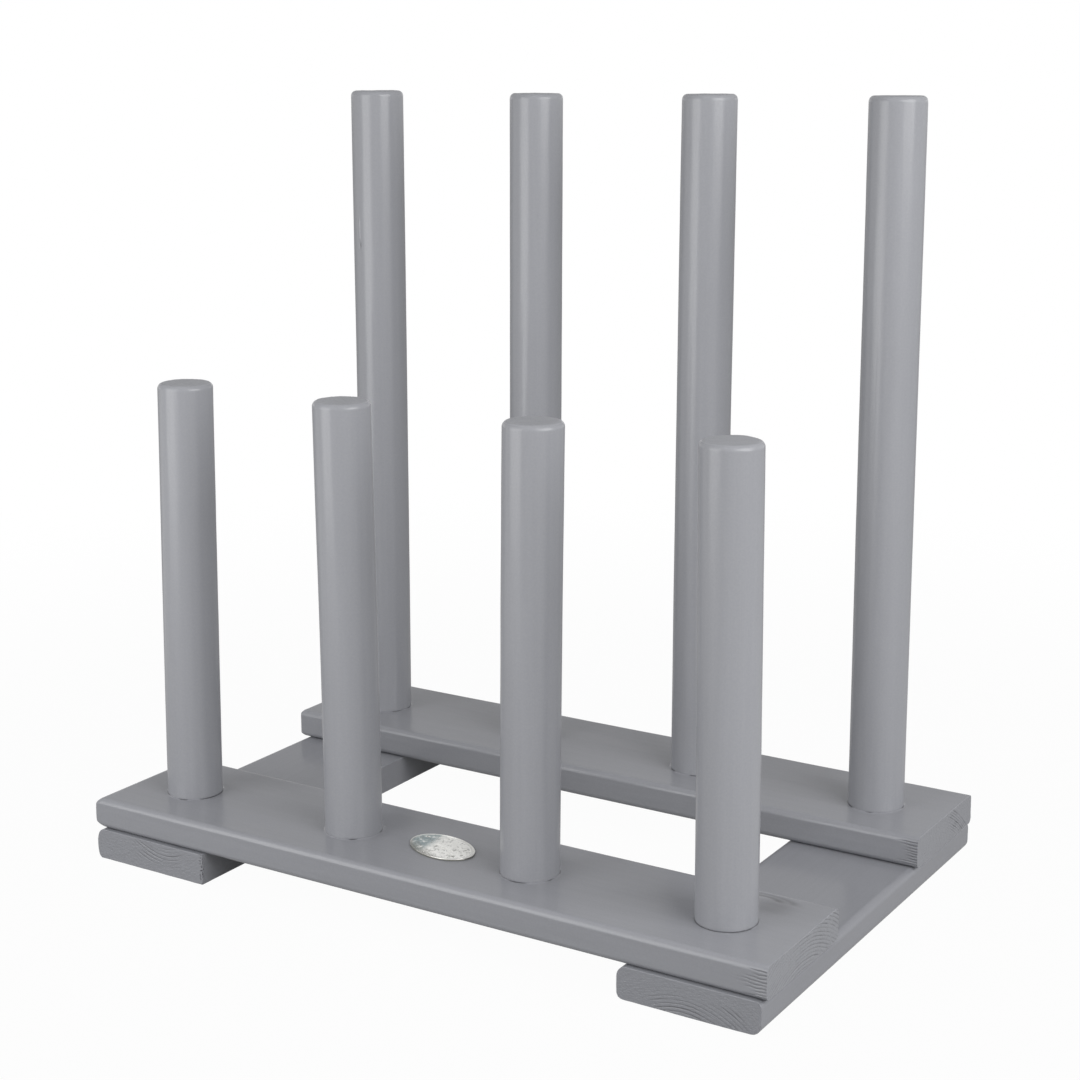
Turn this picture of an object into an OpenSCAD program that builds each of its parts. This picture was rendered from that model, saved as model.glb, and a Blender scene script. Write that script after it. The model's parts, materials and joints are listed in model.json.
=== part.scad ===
// Boot rack for four pairs of boots: two long rails on two cross feet, with a row of
// short pegs in front and a row of tall pegs behind. A boot hangs upside down on a peg.
// X runs along the rails, Y from front to back and Z up. The feet stand on Z = 0.

/* [Rails] */
// Length of each rail
rail_len = 487; // [360:1:640]
// Width of each rail, front to back
rail_w = 95; // [80:1:125]
// Thickness of each rail
rail_t = 20; // [18:0.5:30]
// Radius along the rails' long edges
rail_edge_r = 4; // [1:0.5:6]

/* [Feet] */
// Length of each foot, front to back
foot_len = 314; // [280:1:420]
// Width of each foot
foot_w = 90; // [80:1:110]
// Thickness of each foot
foot_t = 20; // [18:0.5:30]
// Radius along the feet's long edges
foot_edge_r = 4; // [1:0.5:6]
// Radius of the left foot's worn lower outer edge
foot_worn_r = 7; // [4:0.5:9]
// Distance from a rail's end to the outer edge of the foot below it
foot_inset = 2; // [0:0.5:8]
// How far a foot's end stands proud of the rail's outer face
foot_proud = 1.5; // [0:0.5:6]

/* [Pegs] */
// Diameter of every peg
peg_d = 36; // [28:0.5:42]
// Height of the front pegs above the rail
short_peg_h = 274; // [180:1:340]
// Height of the back pegs above the rail
tall_peg_h = 456; // [345:1:560]
// Distance from a rail's end to the centre of its end peg
peg_end = 47; // [42:0.5:56]
// Distance from a rail's front face to the centre line of its pegs
peg_line = 45; // [38:0.5:52]
// Radius round the top of each peg
peg_top_r = 3.5; // [1:0.5:8]
// Radius of the eased edge where a peg's shoulder stands on the rail
peg_foot_r = 0.8; // [0.3:0.1:2]
// Diameter of the tenon turned on each peg's foot
tenon_d = 25; // [18:0.5:26]
// Length of the tenon
tenon_len = 10; // [6:0.5:12]
// Gap between a tenon and its socket, all round and below
socket_gap = 0.3; // [0.1:0.05:0.5]

/* [Badge] */
// Length of the oval metal badge
badge_len = 49; // [36:0.5:56]
// Width of the oval metal badge
badge_w = 32; // [22:0.5:36]
// Thickness of the badge at its rim
badge_t = 1.4; // [1.2:0.1:3]
// Width of the badge's raised rim
badge_rim_w = 1.8; // [1:0.1:3]
// Depth of the face inside the rim
badge_face_depth = 0.5; // [0.2:0.1:0.8]
// Distance from the front rail's front face to the badge's centre
badge_line = 48; // [40:0.5:55]
// Turn of the badge on the rail, in degrees
badge_turn = -15; // [-20:1:20]
// Diameter of the two spikes cast under the badge
spike_d = 3; // [2:0.1:4]
// Length of the two spikes
spike_len = 8; // [5:0.5:12]
// Distance between the two spikes
spike_pitch = 26; // [18:1:32]

/* [Peg screws] */
// Length of the screw that holds each peg
peg_screw_len = 50; // [40:1:70]
// Diameter of the peg screws over the thread
peg_screw_d = 5; // [4:0.5:6]
// Diameter of the peg screws' heads
peg_screw_head_d = 9.5; // [8.5:0.5:11]

/* [Foot screws] */
// Length of the screws that hold a foot to a rail
foot_screw_len = 35; // [30:1:36]
// Diameter of the foot screws over the thread
foot_screw_d = 4.5; // [3.5:0.5:5]
// Diameter of the foot screws' heads
foot_screw_head_d = 8.5; // [7.5:0.5:9.5]
// Distance from a foot's long edge to the nearest line of its screws
foot_screw_edge = 17; // [14:0.5:20]
// Distance from a rail's long edge to the nearest foot screw
rail_screw_edge = 17; // [14:0.5:20]

/* [Screw seats] */
// Gap all round between a screw or a badge spike and its hole
screw_gap = 0.2; // [0.1:0.05:0.3]
// Depth of each screw head below the wood's face
head_sink = 0.4; // [0.2:0.1:1]
// Length of a screw's pointed tip
screw_tip = 6; // [4:0.5:8]
// Length of the slots in a screw head's cross recess
recess_len = 5; // [4:0.1:6]
// Width of the slots in a screw head's cross recess
recess_w = 1.2; // [0.8:0.1:1.6]
// Depth of the cross recess
recess_depth = 1.8; // [1:0.1:2.2]

/* [Hidden] */
$fn = 96;

PAINT = [0.57, 0.573, 0.588];
PEWTER = [0.86, 0.86, 0.84];
ZINC = [0.72, 0.73, 0.75];

// Overrun that lets a cut pass cleanly through a face
cut = 1;
// Corners of the polygon that draws the badge's oval
oval_corners = 72;

pegs_per_rail = 4;
peg_pitch = (rail_len - 2 * peg_end) / (pegs_per_rail - 1);
peg_r = peg_d / 2;
rail_bottom = foot_t;
rail_top = foot_t + rail_t;
front_rail_y = foot_proud - foot_len / 2;
back_rail_y = foot_len / 2 - foot_proud - rail_w;
left_foot_x = foot_inset - rail_len / 2;
right_foot_x = rail_len / 2 - foot_inset - foot_w;
tenon_r = tenon_d / 2;
socket_depth = tenon_len + socket_gap;
badge_y = front_rail_y + badge_line;

// Centre of peg number i, counted from 0 at the left
function peg_x(i) = peg_end + i * peg_pitch - rail_len / 2;

// Places of the foot screws. The two at a crossing lie on a diagonal that misses the
// peg's socket: one near each long edge of the foot, and one near each long edge of the rail.
function foot_screw_x(foot_x, at_right) =
    at_right ? foot_x + foot_w - foot_screw_edge : foot_x + foot_screw_edge;
function foot_screw_y(rail_y, at_back) =
    at_back ? rail_y + rail_w - rail_screw_edge : rail_y + rail_screw_edge;

// Quarter disc of radius r in an outline's corner, whose inside lies along inward
module rounded_corner(corner, inward, r) {
    centre = corner + r * inward;
    if (r > 0)
        intersection() {
            translate(centre) circle(r);
            translate([min(corner[0], centre[0]), min(corner[1], centre[1])]) square(r);
        }
}

// Section of a board: w wide and t thick, its corners rounded to radii given
// from the lower left corner, round through the lower right to the upper left.
// A core with a square notch at each rounded corner is filled out with quarter discs.
module board_section(w, t, radii) {
    corners = [[0, 0], [w, 0], [w, t], [0, t]];
    inward = [[1, 1], [-1, 1], [-1, -1], [1, -1]];
    function centre(i) = corners[i] + radii[i] * inward[i];
    function on_long_side(i) = [centre(i)[0], corners[i][1]];
    function on_short_side(i) = [corners[i][0], centre(i)[1]];
    function notch(i) = radii[i] == 0 ? [corners[i]]
        : i % 2 == 0 ? [on_short_side(i), centre(i), on_long_side(i)]
        : [on_long_side(i), centre(i), on_short_side(i)];
    polygon([for (i = [0:3]) each notch(i)]);
    for (i = [0:3]) rounded_corner(corners[i], inward[i], radii[i]);
}

// Board lying along X, its section's width along Y
module rail_board() {
    translate([-rail_len / 2, 0, rail_bottom])
        rotate([90, 0, 90])
            linear_extrude(rail_len)
                board_section(rail_w, rail_t, [rail_edge_r, rail_edge_r, rail_edge_r, rail_edge_r]);
}

// Board lying along Y, its section's width along X
module foot_board(x, radii) {
    translate([x, foot_len / 2, 0])
        rotate([90, 0, 0])
            linear_extrude(foot_len)
                board_section(foot_w, foot_t, radii);
}

// Half outline of a countersunk wood screw, point up, from the rim of its head at y = 0
// to its tip. Grown by a gap, it is the hole that the screw turns into.
function screw_points(len, d, head_d, gap) =
    let (r = d / 2 + gap, head_r = head_d / 2 + gap)
    [[head_r, 0], [r, head_r - r], [r, len - screw_tip], [gap, len + gap], [0, len + gap]];

module screw(len, d, head_d) {
    difference() {
        rotate_extrude()
            polygon(concat([[0, 0]], screw_points(len, d, head_d, 0)));
        for (turn = [0, 90])
            rotate(turn)
                translate([-recess_len / 2, -recess_w / 2, -cut])
                    cube([recess_len, recess_w, recess_depth + cut]);
    }
}

// Hole for a screw whose head lies sunk below the wood's lower face at z
module screw_hole(x, y, z, len, d, head_d) {
    mouth = -head_sink - cut;
    translate([x, y, z + head_sink])
        rotate_extrude()
            polygon(concat([[0, mouth], [head_d / 2 + screw_gap, mouth]],
                           screw_points(len, d, head_d, screw_gap)));
}

module peg_screw_hole(x, y) {
    screw_hole(x, y, rail_bottom, peg_screw_len, peg_screw_d, peg_screw_head_d);
}

module foot_screw_hole(x, y) {
    screw_hole(x, y, 0, foot_screw_len, foot_screw_d, foot_screw_head_d);
}

// Holes of the two foot screws where a foot passes under a rail, the right one nearer the
// back where right_is_back
module crossing_holes(foot_x, rail_y, right_is_back) {
    for (at_right = [false, true])
        foot_screw_hole(foot_screw_x(foot_x, at_right),
                        foot_screw_y(rail_y, at_right == right_is_back));
}

// Rail at rail_y: a rounded board with a socket and a screw hole for each peg
module rail(rail_y) {
    difference() {
        translate([0, rail_y, 0]) rail_board();
        for (i = [0:pegs_per_rail - 1]) {
            translate([peg_x(i), rail_y + peg_line, rail_top - socket_depth])
                cylinder(h = socket_depth + cut, r = tenon_r + socket_gap);
            peg_screw_hole(peg_x(i), rail_y + peg_line);
        }
        crossing_holes(left_foot_x, rail_y, true);
        crossing_holes(right_foot_x, rail_y, false);
    }
}

module front_rail() {
    color(PAINT) difference() {
        rail(front_rail_y);
        for (side = [-1, 1]) spike(side, screw_gap);
    }
}

module back_rail() {
    color(PAINT) rail(back_rail_y);
}

// Both rails' screw holes in a foot that starts at foot_x
module foot(foot_x, radii, right_is_back) {
    color(PAINT) difference() {
        foot_board(foot_x, radii);
        crossing_holes(foot_x, front_rail_y, right_is_back);
        crossing_holes(foot_x, back_rail_y, right_is_back);
    }
}

// The left foot is square along its inner upper and lower edges and worn along its lower outer one
module left_foot() {
    foot(left_foot_x, [foot_worn_r, 0, 0, foot_edge_r], true);
}

module right_foot() {
    foot(right_foot_x, [foot_edge_r, foot_edge_r, foot_edge_r, foot_edge_r], false);
}

// Round peg whose shoulder stands on the rail and whose tenon fills the socket, h above
// the rail, with a rounded top and a hole for its screw
module peg(i, rail_y, h) {
    color(PAINT) difference() {
        translate([peg_x(i), rail_y + peg_line, rail_top])
            rotate_extrude()
                peg_outline(h);
        peg_screw_hole(peg_x(i), rail_y + peg_line);
    }
}

// Half section of a peg, with y = 0 at its shoulder
module peg_outline(h) {
    foot_in = peg_r - peg_foot_r;
    top_in = peg_r - peg_top_r;
    polygon([[0, -tenon_len], [tenon_r, -tenon_len], [tenon_r, 0],
             [foot_in, 0], [foot_in, peg_foot_r], [peg_r, peg_foot_r],
             [peg_r, h - peg_top_r], [top_in, h - peg_top_r], [top_in, h], [0, h]]);
    rounded_corner([peg_r, 0], [-1, 1], peg_foot_r);
    rounded_corner([peg_r, h], [-1, -1], peg_top_r);
}

// Oval of length l and width w
module oval(l, w) {
    polygon([for (i = [1:oval_corners])
        let (a = 360 * i / oval_corners) [l / 2 * cos(a), w / 2 * sin(a)]]);
}

// One of the two spikes under the badge, grown by a gap when it cuts its hole
module spike(side, gap) {
    translate([0, badge_y, rail_top - spike_len - gap])
        rotate(badge_turn)
            translate([side * spike_pitch / 2, 0, 0])
                cylinder(h = spike_len + gap, d = spike_d + 2 * gap);
}

// Cast oval plate with a raised rim, held by two spikes in the front rail
module badge() {
    color(PEWTER) {
        translate([0, badge_y, rail_top]) rotate(badge_turn) difference() {
            linear_extrude(badge_t) oval(badge_len, badge_w);
            translate([0, 0, badge_t - badge_face_depth])
                linear_extrude(badge_face_depth + cut)
                    oval(badge_len - 2 * badge_rim_w, badge_w - 2 * badge_rim_w);
        }
        for (side = [-1, 1]) spike(side, 0);
    }
}

// The screws driven up through a rail into its pegs
module peg_screws(rail_y) {
    color(ZINC) for (i = [0:pegs_per_rail - 1])
        translate([peg_x(i), rail_y + peg_line, rail_bottom + head_sink])
            screw(peg_screw_len, peg_screw_d, peg_screw_head_d);
}

// The screws driven up through a foot into both rails
module foot_screws(foot_x, right_is_back) {
    color(ZINC) for (rail_y = [front_rail_y, back_rail_y])
        for (at_right = [false, true])
            translate([foot_screw_x(foot_x, at_right),
                       foot_screw_y(rail_y, at_right == right_is_back), head_sink])
                screw(foot_screw_len, foot_screw_d, foot_screw_head_d);
}

front_rail();
back_rail();
left_foot();
right_foot();
peg(0, front_rail_y, short_peg_h);  // peg_front_1
peg(1, front_rail_y, short_peg_h);  // peg_front_2
peg(2, front_rail_y, short_peg_h);  // peg_front_3
peg(3, front_rail_y, short_peg_h);  // peg_front_4
peg(0, back_rail_y, tall_peg_h);  // peg_back_1
peg(1, back_rail_y, tall_peg_h);  // peg_back_2
peg(2, back_rail_y, tall_peg_h);  // peg_back_3
peg(3, back_rail_y, tall_peg_h);  // peg_back_4
badge();
peg_screws(front_rail_y);  // front_peg_screws
peg_screws(back_rail_y);  // back_peg_screws
foot_screws(left_foot_x, true);  // left_foot_screws
foot_screws(right_foot_x, false);  // right_foot_screws
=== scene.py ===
# %% [markdown]
# # A painted boot rack
#
# Two long rails lie on two cross feet. Four short pegs stand in the front rail and four tall ones
# in the back rail, and a small metal badge sits on the front rail. Everything but the badge and
# the screws has a satin grey paint over softwood. This file dresses the imported model: boards,
# pegs and badge are worked out with numpy as closed surfaces, a little less perfect than the
# plain solids, and each one stands in for the solid that it is named after.

# %% Load the imported model
import json
import bpy
import numpy as np
from mathutils import Matrix, Vector


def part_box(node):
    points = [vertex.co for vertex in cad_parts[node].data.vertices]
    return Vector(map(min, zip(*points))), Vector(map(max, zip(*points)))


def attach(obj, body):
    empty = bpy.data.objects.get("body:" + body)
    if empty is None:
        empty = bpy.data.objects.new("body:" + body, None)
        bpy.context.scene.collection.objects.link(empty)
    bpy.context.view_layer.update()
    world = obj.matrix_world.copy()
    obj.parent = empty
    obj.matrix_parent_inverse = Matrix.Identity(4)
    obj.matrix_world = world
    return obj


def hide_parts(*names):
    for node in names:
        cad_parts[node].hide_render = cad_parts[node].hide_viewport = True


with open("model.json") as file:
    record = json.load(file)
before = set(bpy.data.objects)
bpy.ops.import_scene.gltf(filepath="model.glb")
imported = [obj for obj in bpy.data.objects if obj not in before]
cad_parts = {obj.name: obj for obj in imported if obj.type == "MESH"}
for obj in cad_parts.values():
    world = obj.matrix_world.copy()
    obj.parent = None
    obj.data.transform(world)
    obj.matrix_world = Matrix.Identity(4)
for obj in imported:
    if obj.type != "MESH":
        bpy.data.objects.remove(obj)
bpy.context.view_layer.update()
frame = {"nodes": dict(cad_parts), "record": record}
MM = 0.001


def box_mm(node):
    """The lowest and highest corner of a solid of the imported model, in millimetres."""
    return [np.array(corner, dtype=float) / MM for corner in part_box(node)]


def put(name, data):
    """A new object in the scene."""
    thing = bpy.data.objects.new(name, data)
    bpy.context.scene.collection.objects.link(thing)
    return thing


def direction(angle):
    """The vector of length one at an angle, or one such row for each of many angles."""
    return np.stack([np.cos(angle), np.sin(angle)], -1)


def even_angles(count):
    return np.arange(count) / count * 2 * np.pi


def outward(azimuth, elevation):
    """From the rack towards a place whose azimuth is 0 in front and grows to the right."""
    across = np.cos(elevation)
    return Vector((np.sin(azimuth) * across, -np.cos(azimuth) * across, np.sin(elevation)))


# %% [markdown]
# ## The camera
#
# The camera's place is given by two angles and a distance from a point inside the rack, its lens
# by how many pixels of the picture one unit of slope covers. The rack sits low in the picture, so
# the lens is shifted and not tilted. A tilt would make the upright pegs lean together.

# %% Place the camera
TURN, RISE = np.radians(31.814), np.radians(10.583)
DISTANCE = 1.30639
AIM = Vector((0.004044, 0, 0.278976))
PICTURE_PX, LENS_PX, AXIS_ROW_PX = 1080, 2050.95, 440
SENSOR_MM = 36

right, backward = Vector((*direction(TURN), 0)), outward(TURN, RISE)
upward = backward.cross(right)
camera = put("camera", bpy.data.cameras.new("camera"))
camera.matrix_world = Matrix.Translation(AIM + backward * DISTANCE) @ Matrix(
    (right, upward, backward)).transposed().to_4x4()
camera.data.sensor_width = SENSOR_MM
camera.data.lens = LENS_PX / PICTURE_PX * SENSOR_MM
camera.data.shift_y = (AXIS_ROW_PX - PICTURE_PX / 2) / PICTURE_PX
bpy.context.scene.camera = camera
print("lens", round(camera.data.lens, 2), "mm, shift", round(camera.data.shift_y, 4))

# %% [markdown]
# ## Grids, rings and welding
#
# Every surface below is a grid of points. Blender could make the same boards with a cube, a bevel
# and booleans for its holes, but a boolean leaves long thin faces that shade badly and can't
# carry fine relief. Here each face of a board has its own even grid, each hole has rings from a
# square of that grid down to its bottom, and points on the same place are welded, so that the
# board is one closed skin.

# %% Lines, rings and the faces between them
def lines(stops, step):
    """Values through every stop, with gaps no wider than step says at the middle of each span."""
    stops = np.unique(np.round(stops, 4))
    spans = [np.linspace(a, b, max(1, int(np.ceil((b - a) / step((a + b) / 2) - 1e-6))),
                         endpoint=False) for a, b in zip(stops, stops[1:])]
    return np.append(np.concatenate(spans), stops[-1])


def finer(values, parts):
    """The same lines with every gap cut into equal parts."""
    count = len(values) - 1
    return np.interp(np.arange(parts * count + 1) / parts, np.arange(count + 1), values)


def outline(a, b):
    """The points around a grid of lines a by b, anticlockwise from its first corner."""
    sides = ((a[:-1], b[0]), (a[-1], b[:-1]), (a[:0:-1], b[-1]), (a[0], b[:0:-1]))
    return np.concatenate([np.column_stack(np.broadcast_arrays(*side)) for side in sides])


def ring_faces(rings, count):
    """Quads between rings of count points each, numbered ring by ring."""
    start = np.arange(rings - 1)[:, None] * count
    here, there = start + np.arange(count), start + (np.arange(count) + 1) % count
    return np.stack([here, there, there + count, here + count], -1).reshape(-1, 4)


def fan_faces(start, count, pole):
    """Triangles that close the ring of count points from start on one point."""
    here = np.arange(count)
    return np.stack([start + here, start + (here + 1) % count, np.full(count, pole)], -1)


def sheet_faces(rows, columns):
    """Quads of a grid that is numbered row by row."""
    start = np.arange(rows - 1)[:, None] * columns + np.arange(columns - 1)
    return np.stack([start, start + columns, start + columns + 1, start + 1], -1).reshape(-1, 4)


def closed(rings, heights, middle=(0, 0)):
    """A skin of rings, given as ring by point by x and y, each at its height. The first and the
    last ring close on a pole at their middle."""
    count, sides = rings.shape[:2]
    poles = [[*middle, heights[end]] for end in (0, -1)]
    points = np.column_stack([rings.reshape(-1, 2), np.repeat(heights, sides)])
    triangles = np.concatenate([fan_faces(0, sides, len(points))[:, ::-1],
                                fan_faces((count - 1) * sides, sides, len(points) + 1)])
    return np.concatenate([points, poles]), ring_faces(count, sides), triangles


# %% Weld parts into one skin, and find its normals
def joined(parts):
    """Several skins, each of points, quads and triangles, as one."""
    shifts = np.cumsum([0] + [len(part[0]) for part in parts])
    return [np.concatenate([part[k] + (shift if k else 0) for part, shift in zip(parts, shifts)])
            for k in range(3)]


def weld(parts):
    """Join the skins and make points within a micrometre of each other one."""
    points, quads, triangles = joined(parts)
    _, first, back = np.unique(np.round(points * 1000).astype(np.int64), axis=0,
                               return_index=True, return_inverse=True)
    back = back.reshape(-1)
    return points[first], back[quads], back[triangles]


def normals_of(points, quads, triangles):
    """Each point's normal: the sum of its faces' area vectors, made one long."""
    quad_area = np.cross(points[quads[:, 2]] - points[quads[:, 0]],
                         points[quads[:, 3]] - points[quads[:, 1]])
    tri_area = np.cross(points[triangles[:, 1]] - points[triangles[:, 0]],
                        points[triangles[:, 2]] - points[triangles[:, 0]])
    index = np.concatenate([quads.T.ravel(), triangles.T.ravel()])
    area = np.concatenate([np.tile(quad_area, (4, 1)), np.tile(tri_area, (3, 1))])
    total = np.column_stack([np.bincount(index, area[:, axis], len(points)) for axis in range(3)])
    return total / np.maximum(np.linalg.norm(total, axis=1, keepdims=True), 1e-12)


def volume_of(points, quads, triangles):
    """The volume inside a closed skin, which is below nought if its faces point inwards."""
    both = np.concatenate([quads[:, [0, 1, 2]], quads[:, [0, 2, 3]], triangles])
    a, b, c = (points[both[:, corner]] for corner in range(3))
    return np.einsum("ij,ij->i", a, np.cross(b, c)).sum() / 6


# %% Put a skin into Blender as a named piece
SHARP_ANGLE = np.radians(42)
NO_QUADS, NO_TRIANGLES = np.zeros((0, 4), int), np.zeros((0, 3), int)
pieces = []


def add_piece(name, node, slot, points, quads, triangles, marks):
    """Make the mesh in metres, store the named marks on its points, and tie it to the frame."""
    volume = volume_of(points, quads, triangles)
    assert volume > 0, name + " is inside out"
    mesh = bpy.data.meshes.new(name)
    mesh.from_pydata((points * MM).tolist(), [], quads.tolist() + triangles.tolist())
    mesh.validate()
    for mark, values in marks.items():
        layer = mesh.attributes.new(mark, "FLOAT", "POINT")
        layer.data.foreach_set("value", np.asarray(values, dtype=np.float32))
    mesh.shade_smooth()
    mesh.set_sharp_from_angle(angle=SHARP_ANGLE)
    piece = put(name, mesh)
    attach(piece, "root")
    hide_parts(node)
    pieces.append((piece, slot))
    print(f"{name}: {len(points)} points, {2 * len(quads) + len(triangles)} triangles, "
          f"{volume / 1000:.1f} cm3")


# %% [markdown]
# ## Small unevenness
#
# Planed and sanded wood under brushed paint is never quite flat. A noise texture could shake the
# shading only. Here a sum of faint waves moves the points themselves. Each wave has a random
# direction and phase from a fixed seed, and a length that differs along and across the grain.

# %% Smooth random height, and soft steps
def waves(seed, lengths, count=28):
    """Height at a point: the sum of count cosines, with wavelengths about the three lengths."""
    draw = np.random.default_rng(seed)
    pitch = 2 * np.pi * draw.normal(0, 0.6, (count, 3)) / np.array(lengths)
    phase = draw.uniform(0, 2 * np.pi, count)
    return lambda points: np.cos(points @ pitch.T + phase).sum(1) / np.sqrt(count / 2)


def soft(value, low, high):
    """0 at or below low, 1 at or above high, and a smooth curve between."""
    t = np.clip((value - low) / (high - low), 0, 1)
    return t * t * (3 - 2 * t)


def span(value, rise, fall):
    """0 to 1 over the pair rise, then back to 0 over the pair fall."""
    return soft(value, *rise) * (1 - soft(value, *fall))


def bell(value, width):
    """The bell curve: e to the power of minus the square of value / width."""
    return np.exp(-(value / width) ** 2)


# %% [markdown]
# ## The boards
#
# A board starts as the skin of a plain box, with more lines where detail comes. Two bends then
# give it its real form. The first eases the sharp rim at each end. The second turns the long
# corners into quarters of an ellipse: a small square at the corner is pressed into a quarter disc,
# x times the root of 1 - y squared / 2, and the same for y, in units of the two half axes. An end
# face that shows has a grid four times finer across, because it carries the yearly rings.

# %% A hole, from a square patch of the board's face down to its bottom
def bore(u_lines, v_lines, w_start, w_end, hole):
    """Rings around a round hole. Each point of the patch's rim is carried along its own ray to
    the circles of the profile, then to the far face's patch or to a point at the hole's tip."""
    centre, half = np.array(hole["at"]), hole["patch"]
    near_u = u_lines[np.abs(u_lines - centre[0]) < half + 1e-3]
    near_v = v_lines[np.abs(v_lines - centre[1]) < half + 1e-3]
    rim = outline(near_u, near_v)
    rim = rim if w_start > w_end else rim[::-1]
    reach = np.linalg.norm(rim - centre, axis=1)[:, None]
    ray, count = (rim - centre) / reach, len(rim)

    def ring(radius, w):
        return np.insert(centre + ray * radius, 2, w, axis=1)

    circles = [(radius, w_start) for radius in hole["rims"]] + hole["profile"]
    rings = [ring(reach + (circles[0][0] - reach) * part, w_start)
             for part in (0, 0.3, 0.6, 0.85)]
    rings += [ring(radius, w) for radius, w in circles]
    if hole["top"] and hole["bottom"]:
        rings += [ring(circles[-1][0] + (reach - circles[-1][0]) * part, w_end)
                  for part in (0.3, 0.7, 1)]
        return np.concatenate(rings), ring_faces(len(rings), count), NO_TRIANGLES
    points = np.concatenate(rings + [[[*centre, circles[-1][1]]]])
    return points, ring_faces(len(rings), count), fan_faces(
        (len(rings) - 1) * count, count, len(points) - 1)


# %% A strip between a coarse ring and a finer one
def strip_side(start, count, fine_start, parts, ring_count, fine_count):
    """Triangles along one side: each coarse gap meets parts fine ones. The first half of the fine
    gaps hang on the gap's first point, the rest on its second."""
    i, k, half = np.arange(count)[:, None], np.arange(parts)[None, :], parts // 2
    here, there = (start + i) % ring_count, (start + i + 1) % ring_count
    fine = fine_start + parts * i
    near = np.where(k < half, here, there)
    many = np.stack([near, ring_count + (fine + k + 1) % fine_count,
                     ring_count + (fine + k) % fine_count], -1).reshape(-1, 3)
    one = np.column_stack([here, there, ring_count + (fine + half) % fine_count])
    return np.concatenate([many, one])


# %% The box skin of a board with its holes
def box_skin(u_lines, v_lines, w_lines, holes, end_parts):
    """Long faces as rings along u, two finer end faces, strips that join them, and the holes.
    end_parts says how much finer each end face is, across and in height."""
    w_low, w_high = w_lines[0], w_lines[-1]
    around = outline(v_lines, w_lines)
    count, inner = len(around), u_lines[1:-1]
    tube = np.column_stack([np.repeat(inner, count), np.tile(around, (len(inner), 1))])
    faces = ring_faces(len(inner), count)
    middle, height = tube[faces].mean(1), tube[faces][:, :, 2]
    keep = np.ones(len(faces), bool)
    for hole in holes:
        inside = (np.abs(middle[:, :2] - hole["at"]) < hole["patch"]).all(1)
        keep &= ~(inside & (height == w_high).all(1) & hole["top"])
        keep &= ~(inside & (height == w_low).all(1) & hole["bottom"])
    parts = [(tube, faces[keep], NO_TRIANGLES)]
    sides = [len(v_lines) - 1, len(w_lines) - 1] * 2
    for end, beside, finer_by, order in ((u_lines[0], inner[0], end_parts[0], -1),
                                         (u_lines[-1], inner[-1], end_parts[1], 1)):
        v_fine, w_fine = finer(v_lines, finer_by[0]), finer(w_lines, finer_by[1])
        grid = np.stack(np.meshgrid(v_fine, w_fine, indexing="ij"), -1).reshape(-1, 2)
        cap = sheet_faces(len(v_fine), len(w_fine))
        parts.append((np.insert(grid, 0, end, axis=1), cap[:, ::order], NO_TRIANGLES))
        fine_ring = outline(v_fine, w_fine)
        strip = np.concatenate([np.insert(around, 0, beside, axis=1),
                                np.insert(fine_ring, 0, end, axis=1)])
        triangles, start, fine_start = [], 0, 0
        for size, by in zip(sides, finer_by * 2):
            triangles.append(strip_side(start, size, fine_start, by, count, len(fine_ring)))
            start, fine_start = start + size, fine_start + size * by
        parts.append((strip, NO_QUADS, np.concatenate(triangles)[:, ::order]))
    for hole in holes:
        w_start, w_end = (w_high, w_low) if hole["top"] else (w_low, w_high)
        parts.append(bore(u_lines, v_lines, w_start, w_end, hole))
    return weld(parts)


# %% Round the long corners and ease the rims of the ends
def press_round(a, b, radius):
    """Press the square 0..radius in a and b into a quarter disc of that radius."""
    inside = (a > 0) & (b > 0)
    squeeze = 2 * radius * radius
    return (np.where(inside, a * np.sqrt(np.maximum(1 - b * b / squeeze, 0)), a),
            np.where(inside, b * np.sqrt(np.maximum(1 - a * a / squeeze, 0)), b))


def rounded(points, low, high, corners, tips, ease):
    """Ends first: depth t from the end and inset s from the sides are pressed round together.
    Then each long corner, given as side of v, side of w and the two half axes of its quarter
    ellipse, and each worn tip, given as side of u, side of w and radius."""
    u, v, w = points.T.copy()
    middle, half = (low + high) / 2, (high - low) / 2
    t = half[0] - np.abs(u - middle[0])
    s = np.minimum(half[1] - np.abs(v - middle[1]), half[2] - np.abs(w - middle[2]))
    a, b = press_round(ease - t, ease - s, ease)
    u = middle[0] + np.sign(u - middle[0]) * (half[0] - (ease - a))
    shrink = [(size - (ease - b)) / np.maximum(size - s, 1e-9) for size in half[1:]]
    v, w = middle[1] + (v - middle[1]) * shrink[0], middle[2] + (w - middle[2]) * shrink[1]

    def start(axis, side, size):
        """Where a round of that size begins on that side."""
        return (high if side > 0 else low)[axis] - side * size

    for v_side, w_side, across, tall in corners:
        v_turn, w_turn = start(1, v_side, across), start(2, w_side, tall)
        a, b = press_round((v - v_turn) * v_side / across, (w - w_turn) * w_side / tall, 1)
        v, w = v_turn + v_side * a * across, w_turn + w_side * b * tall
    for u_side, w_side, radius in tips:
        u_turn, w_turn = start(0, u_side, radius), start(2, w_side, radius)
        a, b = press_round((u - u_turn) * u_side, (w - w_turn) * w_side, radius)
        u, w = u_turn + u_side * a, w_turn + w_side * b
    return np.column_stack([u, v, w])


# %% [markdown]
# ## What the paint and the wood do to a board
#
# The end faces show the yearly rings as arcs through the paint, because the hard late wood stands
# proud of the soft early wood. Beside a sawn end the grain is torn into short furrows. The long
# faces wave a little, and one knot shows. Where a peg stands in a rail, the paint has bridged the
# joint in some places and left a fine open line in others. A bump in the paint would lie flat in
# the outline, so all of this moves the points along their normals.
# Grooves, furrows, chips and open joints are painted darker too, as painted shade, as is one spot
# by the knot.

# %% Relief of rings on an end face
GROOVE_WIDTH = 0.15


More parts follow.
